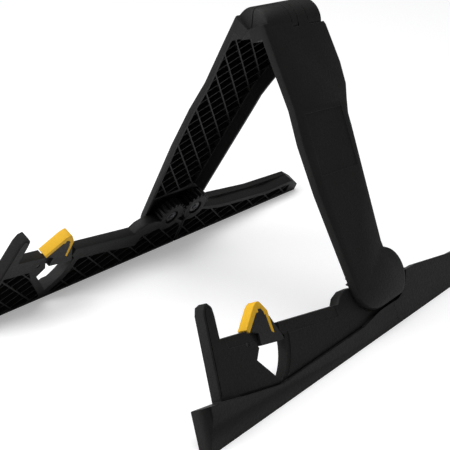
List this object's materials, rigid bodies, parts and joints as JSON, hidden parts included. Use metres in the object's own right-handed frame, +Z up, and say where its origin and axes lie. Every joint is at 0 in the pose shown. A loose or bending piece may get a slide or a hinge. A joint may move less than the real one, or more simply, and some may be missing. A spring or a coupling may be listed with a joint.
{
  "type": "guitar stand",
  "caption": "Folding A-frame guitar stand: two hinged legs, geared folding front and rear arms, end posts and flip-up rests.",
  "frame": {"origin": "on the floor under the middle of the stand's bounding box", "axes": "+Z up, +Y from the end posts back to the rear arms, +X to the right leg, the root"},
  "size_m": [0.3648, 0.5204, 0.3139],
  "materials": {
    "black_plastic": "fine moulded grain, near-black",
    "core_plastic": "fine moulded grain, near-black",
    "yellow_grip": "soft satin yellow grip",
    "soft_band": "soft matte",
    "steel": "plain turned steel"
  },
  "bodies": {
    "right_leg": {"right_leg_panel": "black_plastic", "hinge_pin": "steel", "right_front_pivot_screw": "steel", "right_front_pivot_washer": "steel", "right_rear_pivot_screw": "steel", "right_rear_pivot_washer": "steel"},
    "right_front_arm": {"right_front_arm": "black_plastic", "right_stop_pad": "soft_band", "right_rest_pin": "steel"},
    "right_rear_arm": {"right_rear_arm": "black_plastic"},
    "right_rest": {"right_rest_core": "core_plastic", "right_rest_pad": "yellow_grip"},
    "left_leg": {"left_leg_panel": "black_plastic", "left_front_pivot_screw": "steel", "left_front_pivot_washer": "steel", "left_rear_pivot_screw": "steel", "left_rear_pivot_washer": "steel"},
    "left_front_arm": {"left_front_arm": "black_plastic", "left_stop_pad": "soft_band", "left_rest_pin": "steel"},
    "left_rear_arm": {"left_rear_arm": "black_plastic"},
    "left_rest": {"left_rest_core": "core_plastic", "left_rest_pad": "yellow_grip"}
  },
  "joints": [
    {"name": "leg_fold", "type": "hinge", "parent": "right_leg", "child": "left_leg", "pos_m": [0, 0.05546, 0.28751], "axis": [0, 0.9912, -0.1323], "range_deg": [-54, 0]},
    {"name": "right_front_arm_fold", "type": "hinge", "parent": "right_leg", "child": "right_front_arm", "pos_m": [0.1311, 0.0344, 0.04664], "axis": [-0.8899, -0.0604, -0.4521], "range_deg": [0, 83]},
    {"name": "right_rear_arm_fold", "type": "hinge", "parent": "right_leg", "child": "right_rear_arm", "pos_m": [0.12867, 0.07032, 0.04664], "axis": [-0.8899, -0.0604, -0.4521], "range_deg": [-83, 0]},
    {"name": "right_rest_fold", "type": "hinge", "parent": "right_front_arm", "child": "right_rest", "pos_m": [0.13857, -0.16255, 0.05824], "axis": [-0.8899, -0.0604, -0.4521], "range_deg": [0, 40]},
    {"name": "left_front_arm_fold", "type": "hinge", "parent": "left_leg", "child": "left_front_arm", "pos_m": [-0.1311, 0.0344, 0.04664], "axis": [-0.8899, 0.0604, 0.4521], "range_deg": [0, 83]},
    {"name": "left_rear_arm_fold", "type": "hinge", "parent": "left_leg", "child": "left_rear_arm", "pos_m": [-0.12867, 0.07032, 0.04664], "axis": [-0.8899, 0.0604, 0.4521], "range_deg": [-83, 0]},
    {"name": "left_rest_fold", "type": "hinge", "parent": "left_front_arm", "child": "left_rest", "pos_m": [-0.13857, -0.16255, 0.05824], "axis": [-0.8899, 0.0604, 0.4521], "range_deg": [0, 40]}
  ],
  "couplings": [
    {"joint": "right_rear_arm_fold", "follows": "right_front_arm_fold", "ratio": -1},
    {"joint": "left_rear_arm_fold", "follows": "left_front_arm_fold", "ratio": -1}
  ]
}
